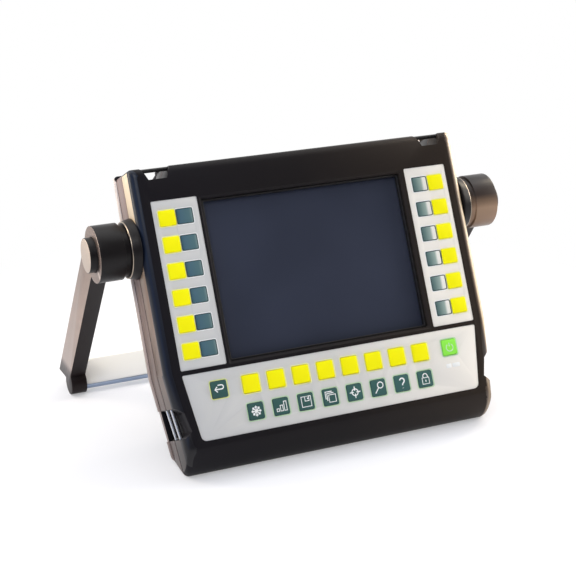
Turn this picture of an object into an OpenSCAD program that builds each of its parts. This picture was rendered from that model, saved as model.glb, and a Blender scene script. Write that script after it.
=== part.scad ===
// Portable ultrasonic flaw detector, standing on its heel and its swung-down handle.
// Every piece is drawn upright and then leaned back as it stands on a table:
// X to the right, Y into the case, Z up its front face, zero at the middle of the face.

/* [Case] */
// Depth of the case, front face to rear face
case_d = 76; // [70:1:90]
// Width of the border outside the side panels
side_border = 12; // [11:0.1:14]
// Height of the border above the side panels
top_border = 25.9; // [22:0.1:28]
// Height of the border below the bottom panel
low_border = 5; // [4:0.1:7]
// Height of the rounded chin below the face
chin_h = 18.4; // [14:0.1:22]
// Depth of the rounded chin
chin_d = 23; // [18:0.5:28]
// Width of the flat heel that the case stands on
heel_w = 3.5; // [2.5:0.1:5]
// Slope of the case bottom behind the heel, in degrees
rear_rise_deg = 32; // [29:0.5:36]
// Thickness of the case walls
wall = 3; // [2.4:0.1:3.4]
// Radius of the edge round the front face
edge_r = 6.5; // [3:0.1:8]
// Radius of the two top corners
top_corner_r = 3; // [2:0.5:6]
// Radius of the two bottom corners
foot_corner_r = 5; // [4:0.5:10]
// Angle at which the sides draw in, in degrees
taper_deg = 8; // [4:0.5:10]
// How far the sides are drawn in at the lower end, at most
taper_draw = 7; // [5:0.5:9]
// Depth of the joint between front bezel and middle frame
front_seam_y = 21; // [19:0.5:22]
// Depth of the joint between middle frame and rear shell
rear_seam_y = 36.5; // [34:0.5:38]
// How far the edges of the rear face are drawn in
rear_inset = 15; // [12:0.5:16]
// How far the rim of the rear shell stands proud
rim_proud = 1; // [0.5:0.1:2]
// Width of the rim of the rear shell
rim_w = 5; // [3:0.5:7]
// How far that rim stands above the top of the case
rim_top = 2; // [0.5:0.1:3]
// Angle at which the case leans back, in degrees
lean_deg = 27.75; // [22:0.25:30]

/* [Key panels] */
// Width of the side panels
side_panel_w = 35.6; // [34:0.1:40]
// Width of the web between a side panel and the display opening
web_w = 3.9; // [3.7:0.1:6]
// Height of the side panels above the display opening
panel_over = 2.5; // [2.3:0.1:4]
// Height of the side panels below the display opening
panel_under = 1.3; // [1:0.1:3]
// Height of the seam between the side panels and the bottom panel
seam_h = 3.3; // [3.2:0.1:4]
// Height of the bottom panel
low_panel_h = 49.2; // [47:0.1:56]
// Thickness of the panels
panel_t = 1.6; // [1:0.1:1.7]
// Depth of the panels below the face
panel_sink = 0.3; // [0:0.05:0.5]
// Corner radius of the side panels
panel_r = 1.2; // [0.5:0.1:3]
// Corner radius of the bottom panel
low_panel_r = 4.5; // [2:0.1:8]
// Width of the ledge that carries each panel
ledge_w = 2.5; // [1.5:0.1:3]

/* [Keys] */
// Number of yellow keys on each side
side_rows = 6; // [4:1:6]
// Depth of the middle of the top side key below the top of its panel
side_first_drop = 13.43; // [12:0.01:15]
// Width of a side key
side_key_w = 12.7; // [10:0.1:13]
// Height of a side key
side_key_h = 11.6; // [9:0.1:13]
// Distance from the outer edge of a side panel to its keys
side_key_margin = 4.1; // [3.5:0.1:5]
// Width of the tinted label windows
label_w = 13.1; // [10:0.1:13.3]
// Distance from the inner edge of a side panel to its label windows
label_margin = 5; // [4.9:0.1:6]
// Number of keys in each row of the bottom panel
low_cols = 8; // [6:1:8]
// Size of a square yellow key in the bottom row
low_key = 13.2; // [10:0.1:14]
// Size of a square symbol key
symbol_key = 12.2; // [9:0.1:13]
// Depth of the middle of the yellow row below the top of its panel
yellow_drop = 14.1; // [13:0.1:15]
// Height between the yellow row and the symbol row
row_step = 20.55; // [19.5:0.05:22]
// How far the keys stand above the face
key_proud = 0.6; // [0.3:0.1:1]
// Travel of a key
key_travel = 0.6; // [0.3:0.05:0.7]
// Corner radius of the keys
key_r = 1.2; // [0.5:0.1:2]
// Gap round each key in its window
key_gap = 0.3; // [0.2:0.05:0.35]

/* [Display] */
// Width of the display opening
screen_w = 164; // [150:1:165]
// Height of the display opening
screen_h = 121.5; // [110:0.5:122]
// Width of the bevel round the opening
screen_bevel = 2; // [1:0.1:3.2]
// Depth of the glass below the face
glass_y = 7.5; // [6.5:0.1:8.5]
// Thickness of the glass
glass_t = 2; // [1:0.1:3]
// How far the glass reaches behind the bezel on each side
glass_lap = 2.5; // [2:0.1:2.8]
// Depth of the display module
module_d = 8; // [6:0.5:9]

/* [Handle] */
// Depth of the handle pivot behind the front face
hub_y = 22.75; // [22:0.05:24]
// Depth of the handle pivot below the top of the case
hub_drop = 55.7; // [50:0.1:60]
// Length of the pivot base on the side of the case
base_len = 7; // [5:0.1:9]
// Radius of the hub
hub_r = 21.2; // [19:0.1:22]
// Length of the hub along the pivot
hub_len = 19.1; // [17:0.1:22]
// Length of the neck between the hub and its base
neck_len = 4.7; // [3:0.1:6]
// Radius of the neck
neck_r = 19.3; // [17:0.1:20]
// Radius of the pivot shaft
shaft_r = 8; // [6:0.1:9]
// Running clearance of the pivot shaft
shaft_fit = 0.05; // [0.02:0.01:0.09]
// Thickness of the handle arms
arm_t = 12.6; // [10:0.1:14]
// Height of the arm above the line through the pivot
arm_hi = 19.5; // [17:0.1:20]
// Depth of the arm below the line through the pivot
arm_lo = 5; // [3:0.1:8]
// Length of the arm from the pivot to its rear tip
arm_len = 184; // [175:1:186]
// Angle of the arm below the normal of the face, in degrees
arm_deg = 28.6; // [26:0.1:32]
// Radius of the rounded foot of the arm
foot_r = 9.5; // [8:0.1:11]
// Width of the handle bar
bar_w = 26; // [20:0.5:27]
// Thickness of the handle bar
bar_t = 7; // [5:0.5:8]
// Corner radius of the handle bar
bar_r = 2.6; // [1:0.1:3]
// Length of the bar's tenons inside the arms
tenon = 5; // [3:0.5:7]
// Thickness of the bar's tenons
tenon_t = 3; // [2:0.1:3.2]
// Radius of the release buttons
button_r = 13; // [10:0.1:14]
// Depth of the lip that keeps a release button in its hub
lip_t = 1.5; // [1:0.1:2]
// How far a release button stands out of its hub
button_proud = 5.5; // [4.5:0.1:7]
// Travel of a release button
button_travel = 4; // [2:0.1:4]

/* [Strap slots] */
// Depth of the strap slots in the top edge
slot_depth = 9.7; // [7:0.1:10]
// Distance from the side of the case to a top slot
slot_margin = 9; // [8.5:0.5:11]
// Length of the top slots
slot_len = 23.5; // [20:0.5:26]
// Height of the chin edge below the lower end of a side slot
side_slot_margin = 9; // [8:0.5:12]
// Length of the side slots
side_slot_len = 23; // [20:0.5:25]
// Depth of the strap slots in the sides
side_slot_depth = 5.6; // [5:0.1:6]
// Radius of the strap bars
strap_r = 1.5; // [1.2:0.1:1.6]

/* [Inside and rear] */
// Height of the battery pack
battery_h = 54; // [40:1:56]
// Thickness of the battery cover
cover_t = 3; // [2:0.1:4]
// Thickness of the circuit boards
board_t = 1.6; // [1:0.1:2]
// Width of the connector bay in the rear
bay_w = 130; // [120:1:140]
// Height of the connector bay
bay_h = 34; // [30:1:38]
// Depth of the middle of the connector bay below the top of the case
bay_drop = 50.2; // [44:0.1:52]
// Depth of the connector bay
bay_d = 14; // [12:0.5:16]
// Radius of the barrel of a probe socket
socket_r = 4.85; // [4:0.05:6]
// Length of the barrel of a probe socket
socket_len = 10; // [8:0.5:11]
// Radius of the case screws
screw_r = 2; // [1.5:0.1:2.5]
// Radius of the case screw heads
screw_head_r = 3.6; // [3:0.1:4]
// Radius of the rubber feet on the rear face
pad_r = 7; // [5:0.5:8]
// Height of the rubber feet on the rear face
pad_h = 3; // [2:0.5:4]

/* [Hidden] */
overrun = 1;
sliver = 0.01;
arc_steps = 8;
seam_apart = 0.1;
edge_steps = 8;
chin_steps = 6;
chin_soft = edge_r / 8;
seal_t = 1;
seal_sink = 0.3;
fit = 0.1;
gap = 0.3;
tan_lean = tan(lean_deg);
rim_edge_share = 0.5;
back_shares = [[0, 0], [0.7, 0.62], [0.82, 0.74], [0.91, 0.85], [1, 1]];

// Places on the face, from the display opening outwards
screen_v = (panel_under + seam_h - panel_over) / 2;
side_panel_in = screen_w / 2 + web_w;
panel_out = side_panel_in + side_panel_w;
side = panel_out + side_border;
case_w = side * 2;
side_panel_top = screen_v + screen_h / 2 + panel_over;
side_panel_low = screen_h / 2 - screen_v + panel_under;
low_panel_top = side_panel_low + seam_h;
low_panel_low = low_panel_top + low_panel_h;
face_up = side_panel_top + top_border;
face_down = low_panel_low + low_border;
taper_start = 0.5;
taper_from = side_panel_low + taper_start;
heel_run = heel_w * cos(lean_deg);
heel_end_y = chin_d + heel_run;
heel_low = face_down + chin_h;
rim_end = rear_seam_y + seal_t / 2 + rim_w;
slot_end_share = 0.44;
slot_end_y = rim_end + (case_d - rim_end) * slot_end_share;
heel_y = chin_d + heel_run / 2;
heel_v = -heel_low + heel_w / 2 * sin(lean_deg);

// Places of the keys on their panels
side_pitch_share = 0.15706;
low_pitch_share = 0.16519;
escape_share = 4.75;
power_share = 4.77;
side_pitch = (side_panel_top + side_panel_low) * side_pitch_share;
side_first_v = side_panel_top - side_first_drop;
side_key_out = panel_out - side_key_margin;
label_in = side_panel_in + label_margin;
low_pitch = panel_out * low_pitch_share;
yellow_row_v = low_panel_top + yellow_drop;
symbol_row_v = yellow_row_v + row_step;
escape_u = low_pitch * escape_share;
power_u = low_pitch * power_share;

panel_floor = panel_sink + panel_t;
rib_y = panel_floor + 5;
rib_w = 2;
flange_t = 1;
flange_w = 0.7;
flange_y = panel_floor + gap;
plunger_r = 1.8;
plunger_len = 1.4;
switch_r = 2.2;
switch_top = flange_y + flange_t + plunger_len + key_travel + gap;
key_chamfer = 0.3;
label_t = 1.1;
label_y = 0.15;
label_h = side_key_h;

seal_lip = 1;
trim_w = 1.6;
trim_y = glass_y / 2;
rib_back_y = glass_y - seal_lip;
module_y = glass_y + glass_t;
module_lap = 3;
post_r = 2;
post_share = 0.375;
post_x = screen_w * post_share;
post_top_v = screen_v + screen_h / 2 + glass_lap + gap + post_r;
post_low_v = screen_v - screen_h / 2 - glass_lap - gap - post_r;
ear_t = 1.5;
post_end_y = module_y + module_d - ear_t;
spacer_r = 3;

// Depths behind the display, as shares of the room that is left there
stack_d = case_d - wall - module_y - module_d;
front_spacer_share = 0.153;
rear_spacer_share = 0.144;
battery_share = 0.4325;
main_chip_share = 0.6;
pulser_chip_share = 0.7;
front_spacer = stack_d * front_spacer_share;
rear_spacer = stack_d * rear_spacer_share;
battery_d = stack_d * battery_share;
main_chip_h = rear_spacer * main_chip_share;
pulser_chip_h = rear_spacer * pulser_chip_share;
main_board_y = module_y + module_d + front_spacer;
pulser_board_y = main_board_y + board_t + rear_spacer;
board_edge = 6;
main_board_w = screen_w + board_edge * 4;
pulser_board_w = screen_w - board_edge * 2;

hub_v = face_up - hub_drop;
base_out = side + base_len;
neck_in = base_out + gap;
hub_in = neck_in + neck_len;
hub_out = hub_in + hub_len;
base_skirt = 1.8;
base_r = hub_r + base_skirt;
collar_t = 1.7;
collar_r = button_r + 1.2;
pocket_r = collar_r + gap;
pocket_in = hub_out - lip_t - collar_t - button_travel - gap * 2;
button_in = pocket_in + button_travel + gap;
shaft_head_t = 2;
shaft_head_r = 10.5;
head_in = pocket_in - shaft_head_t - gap / 2;
spring_r = 13;
spring_w = 1;
spring_t = 0.25;
flange_r = 14;
shaft_flange_t = 3;
arm_in = hub_out - arm_t;
hub_height = (hub_v - heel_v) * cos(lean_deg) - (hub_y - heel_y) * sin(lean_deg);
stance = arm_deg + lean_deg;
foot_d = (hub_height - arm_lo * cos(stance) - foot_r) / sin(stance);
tip_cut_d = 11.5;
tip_cut_n = 10;
bar_d = foot_d + bar_t / 2;
bar_n = bar_w / 2 - arm_lo * 2;
tenon_d = foot_d + tenon_t / 2 + gap;
tenon_w = bar_w - bar_r * 2;

slot_out = side - slot_margin;
slot_in = slot_out - slot_len;
side_slot_low = face_down - side_slot_margin;
side_slot_top = side_slot_low - side_slot_len;
slot_floor = face_up - slot_depth;
slot_splay_share = 0.2;
slot_splay = (slot_out - slot_in) * slot_splay_share;
slot_block = 2.5;
strap_y = 8;
side_strap_y = 17;
side_strap_step = 11;
strap_top_v = face_up - strap_r - gap;
strap_in_wall = 2.2;
side_slot_splay = 4.5;

battery_drop = 56.5;
battery_v = face_down - battery_drop;
battery_front_y = case_d - cover_t - battery_d - gap;
tray_t = 2;
tray_rim = 4;
tray_gap = 0.5;
cover_lap = 3;
cover_fit = 0.15;
bay_floor_t = 2.5;
socket_share = 0.34;
socket_x = bay_w * socket_share;
bay_v = face_up - bay_drop;
socket_base_r = 8;
socket_base_t = 2;
lug_r = 5.5;
lug_x = side - 21.5;
lug_t = 8;
lug_v_shares = [0.7, -0.1, -0.74];
counterbore = 2.5;
screw_bite_share = 0.75;
screw_tip_y = front_seam_y - seal_t / 2 - lug_t * screw_bite_share;
pad_margin = 36.5;
pad_clear = 2;
pad_top_drop = 30.2;
pad_low_drop = 32.5;
pad_x = side - pad_margin;
pad_top_v = face_up - pad_top_drop;
pad_low_v = face_down - pad_low_drop;
pad_sink = 1;
battery_w = (pad_x - pad_r - cover_lap - pad_clear) * 2;

// Outline helpers

function unit(v) = v / norm(v);

function arc_points(a, b, c, r) =
    r == 0 ? [b] :
    let (
        u = unit(a - b),
        w = unit(c - b),
        half = acos(u * w) / 2,
        start = b + u * (r / tan(half)),
        stop = b + w * (r / tan(half)),
        centre = b + unit(u + w) * (r / sin(half)),
        from = atan2(start[1] - centre[1], start[0] - centre[0]),
        to = atan2(stop[1] - centre[1], stop[0] - centre[0]),
        turn = (to - from + 540) % 360 - 180
    )
    [for (k = [0:arc_steps])
        centre + r * [cos(from + turn * k / arc_steps), sin(from + turn * k / arc_steps)]];

function rounded(corners, radii) =
    let (n = len(corners))
    [for (i = [0:n - 1])
        each arc_points(corners[(i + n - 1) % n], corners[i], corners[(i + 1) % n], radii[i])];

function rounded_box(x0, x1, v0, v1, r) =
    rounded([[x0, v0], [x1, v0], [x1, v1], [x0, v1]], [r, r, r, r]);

function centred_box(u, v, w, h, r) =
    rounded_box(u - w / 2, u + w / 2, v - h / 2, v + h / 2, r);

// Half width of the case at a height, and lowest point of the case at a depth

function side_at(v) = side - min(taper_draw, max(0, -taper_from - v) * tan(taper_deg));

function low_at(y) =
    y <= chin_d ? -heel_low + chin_h * pow(1 - y / chin_d, 2) :
    y <= heel_end_y ? -heel_low + (y - chin_d) * tan_lean :
    -heel_low + heel_run * tan_lean + (y - heel_end_y) * tan(rear_rise_deg);

// How far the edges of the case are drawn in at a depth

function drawn_in(y) =
    y < edge_r ? edge_r - sqrt(pow(edge_r, 2) - pow(edge_r - y, 2)) :
    y > rim_end ? rear_inset * lookup((y - rim_end) / (case_d - rim_end), back_shares) :
    0;

function chin_slope(y) = 2 * chin_h / chin_d * (1 - min(y, chin_d) / chin_d);

function edge_low(y) =
    low_at(y) + (y < edge_r ? chin_soft * pow(drawn_in(y) / edge_r, 2) : 0);

function case_outline(inset, top, low) =
    rounded(
        [
            [-side + inset, top],
            [-side + inset, -taper_from],
            [-side_at(low) + inset, low],
            [side_at(low) - inset, low],
            [side - inset, -taper_from],
            [side - inset, top]
        ],
        [top_corner_r, 0, foot_corner_r, foot_corner_r, 0, top_corner_r]
    );

// Depths at which the case changes

case_depths = concat(
    [for (k = [0:edge_steps]) edge_r * (1 - cos(90 * k / edge_steps))],
    [for (k = [1:chin_steps]) edge_r + (chin_d - edge_r) * k / chin_steps],
    [heel_end_y],
    [for (p = back_shares) rim_end + (case_d - rim_end) * p[0]]
);

module placed() {
    rotate([-lean_deg, 0, 0])
        translate([0, -heel_y, -heel_v])
            children();
}

module slab(outline, y0, y1) {
    translate([0, y1, 0])
        rotate([90, 0, 0])
            linear_extrude(y1 - y0)
                polygon(outline);
}

module block(x0, x1, y0, y1, v0, v1) {
    translate([x0, y0, v0])
        cube([x1 - x0, y1 - y0, v1 - v0]);
}

module rod(x, v, r, y0, y1, sides = 32) {
    translate([x, y1, v])
        rotate([90, 0, 0])
            cylinder(r = r, h = y1 - y0, $fn = sides);
}

module axle(r, x0, x1, r_far = -1) {
    translate([x0, 0, 0])
        rotate([0, 90, 0])
            cylinder(r1 = r, r2 = r_far < 0 ? r : r_far, h = x1 - x0, $fn = 64);
}

module both_sides() {
    children();
    mirror([1, 0, 0])
        children();
}

// The case

function case_ring(y, skin) =
    let (
        outer_y = max(0, min(case_d, (y - skin) * case_d / (case_d - skin * 2))),
        inset = drawn_in(outer_y) + skin,
        low = edge_low(outer_y) + skin / cos(atan(chin_slope(outer_y)))
    )
    [for (p = case_outline(inset, face_up - inset, low)) [p[0], y, p[1]]];

module loft(rings) {
    n = len(rings[0]);
    last = (len(rings) - 1) * n;
    polyhedron(
        points = [for (r = rings) each r],
        faces = concat(
            [[for (i = [n - 1:-1:0]) i], [for (i = [0:n - 1]) last + i]],
            [for (k = [0:len(rings) - 2])
                for (i = [0:n - 1])
                    let (a = k * n + i, b = k * n + (i + 1) % n)
                        each [[a, b, a + n], [b, b + n, a + n]]]
        )
    );
}

module case_form(skin, y0, y1) {
    inner_depths = [for (y = case_depths) skin + y * (case_d - skin * 2) / case_d];
    depths = concat(
        [y0],
        [for (y = inner_depths) if (y > y0 + seam_apart && y < y1 - seam_apart) y],
        [y1]
    );
    loft([for (y = depths) case_ring(y, skin)]);
}

module top_slot(grow, y1) {
    slab(
        [
            [slot_in - grow, face_up + rim_top + overrun],
            [slot_in - grow, face_up],
            [slot_in + slot_splay - grow, slot_floor - grow],
            [slot_out - slot_splay + grow, slot_floor - grow],
            [slot_out + grow, face_up],
            [slot_out + grow, face_up + rim_top + overrun]
        ],
        -overrun, y1
    );
}

module side_slot(grow, y1) {
    top_in = side_at(-side_slot_top) - side_slot_depth - grow;
    low_in = side_at(-side_slot_low) - side_slot_depth - grow;
    slab(
        [
            [side + overrun, -side_slot_top + grow],
            [side_at(-side_slot_top), -side_slot_top + grow],
            [top_in, -side_slot_top + grow - side_slot_splay],
            [low_in, -side_slot_low - grow + side_slot_splay],
            [side_at(-side_slot_low), -side_slot_low - grow],
            [side + overrun, -side_slot_low - grow]
        ],
        -overrun, y1
    );
}

module slots(grow, y1) {
    both_sides() {
        top_slot(grow, slot_end_y + grow);
        side_slot(grow, y1);
    }
}

module cavity(y0, y1) {
    difference() {
        case_form(wall, max(wall, y0 - overrun), min(case_d - wall, y1 + overrun));
        slots(slot_block, rear_seam_y + seal_t / 2 + slot_block);
    }
}

module shell(y0, y1) {
    difference() {
        case_form(0, y0, y1);
        cavity(y0, y1);
        slots(0, rear_seam_y + seal_t / 2);
        both_sides()
            translate([0, hub_y, hub_v])
                axle(shaft_r + gap, side - wall - overrun, side + overrun);
    }
}

function side_panel(grow) =
    rounded_box(
        side_panel_in - grow, panel_out + grow,
        -side_panel_low - grow, side_panel_top + grow, panel_r
    );

function low_panel(grow) =
    rounded(
        [
            [-panel_out - grow, -low_panel_top + grow],
            [-panel_out + low_panel_draw - grow, -low_panel_low - grow],
            [panel_out - low_panel_draw + grow, -low_panel_low - grow],
            [panel_out + grow, -low_panel_top + grow]
        ],
        [panel_r, low_panel_r, low_panel_r, panel_r]
    );

low_panel_draw = (low_panel_low - low_panel_top) * tan(taper_deg);

module panel_slabs(grow, y0, y1) {
    both_sides()
        slab(side_panel(grow), y0, y1);
    slab(low_panel(grow), y0, y1);
}

function screen_box(grow) =
    centred_box(0, screen_v, screen_w + grow * 2, screen_h + grow * 2, panel_r);

module display_posts(y0, y1, r) {
    for (x = [-post_x, post_x])
        for (v = [post_low_v, post_top_v])
            rod(x, v, r, y0, y1);
}

module front_bezel() {
    color([0.14, 0.135, 0.15])
        difference() {
            union() {
                shell(0, front_seam_y - seal_t / 2);
                panel_slabs(-rib_w / 4, wall - overrun, rib_y);
                slab(screen_box(screen_bevel), wall - overrun, rib_back_y);
                display_posts(wall - overrun, post_end_y, post_r);
                lugs(front_seam_y - seal_t / 2 - lug_t, front_seam_y - seal_t / 2);
            }
            panel_slabs(fit, -overrun, panel_floor);
            screw_holes(front_seam_y - seal_t / 2 - lug_t, front_seam_y, screw_r);
            panel_slabs(-ledge_w, -overrun, rib_y + overrun);
            slab(screen_box(0), -overrun, rib_back_y + overrun);
            hull() {
                slab(screen_box(screen_bevel), -sliver, 0);
                slab(screen_box(0), screen_bevel, screen_bevel + sliver);
            }
            strap_rods(fit / 2);
        }
}

module middle_frame() {
    color([0.24, 0.19, 0.17])
        difference() {
            union() {
                shell(front_seam_y + seal_t / 2, rear_seam_y - seal_t / 2);
                lugs(rear_seam_y - seal_t / 2 - lug_t, rear_seam_y - seal_t / 2);
            }
            screw_holes(front_seam_y, rear_seam_y, screw_r);
            strap_rods(fit / 2);
        }
}

function lug_v(share) = face_up * share;

module at_lugs() {
    for (s = lug_v_shares)
        both_sides()
            translate([lug_x, 0, lug_v(s)])
                children();
}

module lugs(y0, y1) {
    at_lugs() {
        rod(0, 0, lug_r, y0, y1);
        block(0, side_at(lug_v(min(lug_v_shares))) - lug_x - wall / 2, y0, y1, -lug_r, lug_r);
    }
}

module screw_holes(y0, y1, r) {
    at_lugs()
        rod(0, 0, r, y0 - overrun, y1);
}

module rear_shell() {
    tray_in_y = battery_front_y - tray_gap;
    color([0.15, 0.14, 0.15])
        difference() {
            union() {
                shell(rear_seam_y + seal_t / 2, case_d);
                rim();
                at_lugs()
                    rod(0, 0, lug_r, rear_seam_y + seal_t / 2, case_d - wall + overrun);
                slab(battery_box(tray_gap + tray_t), tray_in_y - tray_t, case_d - wall);
                slab(battery_box(tray_rim), case_d - wall - tray_rim, case_d - wall + overrun);
                slab(bay_box(bay_floor_t), case_d - bay_d - bay_floor_t, case_d - wall + overrun);
            }
            slab(battery_box(tray_gap), tray_in_y, case_d + overrun);
            slab(battery_box(cover_lap + cover_fit), case_d - cover_t, case_d + overrun);
            slab(bay_box(0), case_d - bay_d, case_d + overrun);
            screw_holes(rear_seam_y, case_d + overrun, screw_r + gap / 2);
            at_lugs()
                rod(0, 0, screw_head_r + gap, case_d - counterbore - wall, case_d + overrun);
            rear_pads(0, fit);
        }
}

function rim_ring(y, share) =
    let (top = face_up + rim_top * share, low = low_at(rim_end))
    [for (p = case_outline(-rim_proud * share, top, low)) [p[0], y, p[1]]];

module rim() {
    difference() {
        loft([
            rim_ring(rear_seam_y + seal_t / 2, 0),
            rim_ring(rear_seam_y + seal_t / 2 + rim_proud, 1),
            rim_ring(rim_end - rim_proud / 2, 1),
            rim_ring(rim_end, rim_edge_share)
        ]);
        slab(
            case_outline(wall / 2, face_up - wall / 2, low_at(rim_end) + wall / 2),
            rear_seam_y, rim_end + overrun
        );
        both_sides() {
            top_slot(0, rim_end + overrun);
            slab(
                rounded_box(side - side_slot_depth * 2, side * 2,
                    -side_slot_low, -side_slot_top, 0),
                rear_seam_y, rim_end + overrun
            );
            translate([0, hub_y, hub_v])
                axle(base_r + gap, side, side + rim_proud + overrun);
        }
    }
}

module case_seals() {
    color([0.06, 0.06, 0.06])
        for (y = [front_seam_y, rear_seam_y])
            difference() {
                case_form(seal_sink, y - seal_t / 2, y + seal_t / 2);
                cavity(y - seal_t / 2, y + seal_t / 2);
                slots(seal_sink, rear_seam_y + seal_t);
                both_sides()
                    translate([0, hub_y, hub_v])
                        axle(shaft_r + gap, side - wall - overrun, side + overrun);
            }
}

// The display

// The trim stands up inside the opening, and its lap seals the glass to the back of the bezel
module display_trim() {
    color([0.07, 0.065, 0.07])
        difference() {
            union() {
                slab(screen_box(glass_lap), rib_back_y, glass_y);
                slab(screen_box(-fit), trim_y, glass_y);
            }
            slab(screen_box(-trim_w), trim_y - overrun, glass_y + overrun);
        }
}

module display_glass() {
    color([0.16, 0.17, 0.26])
        slab(screen_box(glass_lap), glass_y, glass_y + glass_t);
}

module display_module() {
    color([0.55, 0.56, 0.58])
        difference() {
            union() {
                slab(screen_box(module_lap), module_y, module_y + module_d);
                for (x = [-post_x, post_x])
                    slab(
                        centred_box(x, screen_v, spacer_r * 3,
                            post_top_v - post_low_v + spacer_r * 3, 0),
                        post_end_y, module_y + module_d
                    );
            }
            display_posts(post_end_y - overrun, module_y + module_d + overrun, post_r / 2);
            display_posts(module_y - overrun, post_end_y, post_r + gap);
        }
}

// The keypads

module key_panel_left() {
    color([0.76, 0.79, 0.79])
        mirror([1, 0, 0])
            side_panel_plate();
}

module key_panel_right() {
    color([0.88, 0.86, 0.82])
        side_panel_plate();
}

function side_row_v(i) = side_first_v - side_pitch * (i - 1);

module side_panel_plate() {
    difference() {
        slab(side_panel(0), panel_sink, panel_floor);
        for (i = [1:side_rows]) {
            slab(side_key_outline(i, key_gap), -overrun, panel_floor + overrun);
            slab(label_outline(i, fit), -overrun, label_y + label_t);
        }
    }
}

function side_key_outline(i, grow) =
    rounded_box(
        side_key_out - side_key_w - grow, side_key_out + grow,
        side_row_v(i) - side_key_h / 2 - grow, side_row_v(i) + side_key_h / 2 + grow,
        key_r
    );

function label_outline(i, grow) =
    rounded_box(
        label_in - grow, label_in + label_w + grow,
        side_row_v(i) - label_h / 2 - grow, side_row_v(i) + label_h / 2 + grow,
        key_r / 2
    );

module key_panel_bottom() {
    color([0.82, 0.82, 0.79])
        difference() {
            slab(low_panel(0), panel_sink, panel_floor);
            for (i = [1:low_cols]) {
                slab(yellow_outline(i, key_gap), -overrun, panel_floor + overrun);
                slab(symbol_outline(i, key_gap), -overrun, panel_floor + overrun);
            }
            slab(escape_outline(key_gap), -overrun, panel_floor + overrun);
            slab(power_outline(key_gap), -overrun, panel_floor + overrun);
        }
}

function low_u(i) = low_pitch * (i - (low_cols + 1) / 2);

function square_outline(u, v, size, grow) =
    centred_box(u, v, size + grow * 2, size + grow * 2, key_r);

function yellow_outline(i, grow) = square_outline(low_u(i), -yellow_row_v, low_key, grow);

function symbol_outline(i, grow) = square_outline(low_u(i), -symbol_row_v, symbol_key, grow);

function escape_outline(grow) = square_outline(-escape_u, -yellow_row_v, symbol_key, grow);

function power_outline(grow) = square_outline(power_u, -yellow_row_v, symbol_key, grow);

module label_windows() {
    color([0.36, 0.47, 0.5])
        both_sides()
            for (i = [1:side_rows])
                slab(label_outline(i, 0), label_y, label_y + label_t);
}

// One key: a cap through the panel, a flange behind it and a plunger over its switch
module key(u, v, w, h) {
    slab(centred_box(u, v, w, h, key_r), -key_proud + key_chamfer, flange_y);
    slab(
        centred_box(u, v, w - key_chamfer * 2, h - key_chamfer * 2, key_r),
        -key_proud, -key_proud + key_chamfer
    );
    slab(
        centred_box(u, v, w + flange_w * 2, h + flange_w * 2, key_r),
        flange_y, flange_y + flange_t
    );
    rod(u, v, plunger_r, flange_y + flange_t, flange_y + flange_t + plunger_len);
}

module side_key(hand, i) {
    color([1, 0.98, 0])
        key(hand * (side_key_out - side_key_w / 2), side_row_v(i), side_key_w, side_key_h);
}

module yellow_key(i) {
    color([1, 0.98, 0])
        key(low_u(i), -yellow_row_v, low_key, low_key);
}

module symbol_keycap(i) {
    color([0.24, 0.38, 0.38])
        key(low_u(i), -symbol_row_v, symbol_key, symbol_key);
}

module key_escape() {
    color([0.24, 0.38, 0.38])
        key(-escape_u, -yellow_row_v, symbol_key, symbol_key);
}

module key_power() {
    color([0.55, 0.92, 0.33])
        key(power_u, -yellow_row_v, symbol_key, symbol_key);
}

module key_switch(u, v) {
    rod(u, v, switch_r, switch_top, rib_y);
}

module keypad_boards() {
    color([0.1, 0.35, 0.2]) {
        difference() {
            panel_slabs(-rib_w / 2, rib_y, rib_y + board_t);
            display_posts(rib_y - overrun, rib_y + board_t + overrun, post_r + gap);
        }
        both_sides()
            for (i = [1:side_rows])
                key_switch(side_key_out - side_key_w / 2, side_row_v(i));
        for (i = [1:low_cols]) {
            key_switch(low_u(i), -yellow_row_v);
            key_switch(low_u(i), -symbol_row_v);
        }
        key_switch(-escape_u, -yellow_row_v);
        key_switch(power_u, -yellow_row_v);
    }
}

// The boards behind the display

module board(w, y, chip_shares, chip_h) {
    board_h = post_top_v - post_low_v + board_edge * 2;
    difference() {
        union() {
            slab(centred_box(0, screen_v, w, board_h, 0), y, y + board_t);
            for (c = chip_shares)
                slab(
                    centred_box(w * c[0], screen_v + board_h * c[1], w * c[2], board_h * c[3], 0),
                    y + board_t, y + board_t + chip_h * c[4]
                );
        }
        display_posts(y - overrun, y + board_t + overrun, post_r / 2);
    }
}

main_chip_shares = [
    [-0.2, 0.15, 0.2, 0.22, 0.5],
    [0.12, 0.18, 0.14, 0.18, 0.4],
    [0.2, -0.2, 0.22, 0.16, 1],
    [-0.12, -0.22, 0.1, 0.1, 0.7]
];
pulser_chip_shares = [
    [-0.15, 0.2, 0.3, 0.25, 1],
    [0.22, 0.15, 0.16, 0.2, 0.6]
];
module main_board() {
    color([0.08, 0.3, 0.16])
        board(main_board_w, main_board_y, main_chip_shares, main_chip_h);
}

module pulser_board() {
    color([0.1, 0.25, 0.4])
        board(pulser_board_w, pulser_board_y, pulser_chip_shares, pulser_chip_h);
}

module board_spacers() {
    color([0.75, 0.65, 0.35]) {
        display_posts(module_y + module_d, main_board_y, spacer_r);
        display_posts(main_board_y + board_t, pulser_board_y, spacer_r);
        display_posts(pulser_board_y + board_t, pulser_board_y + board_t + ear_t, spacer_r);
    }
}

// The battery and the rear

function battery_box(grow) =
    centred_box(0, -battery_v, battery_w + grow * 2, battery_h + grow * 2, panel_r);

function bay_box(grow) = centred_box(0, bay_v, bay_w + grow * 2, bay_h + grow * 2, panel_r * 2);

module battery_pack() {
    color([0.2, 0.22, 0.26])
        slab(battery_box(0), battery_front_y - tray_gap, case_d - cover_t - gap);
}

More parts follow.
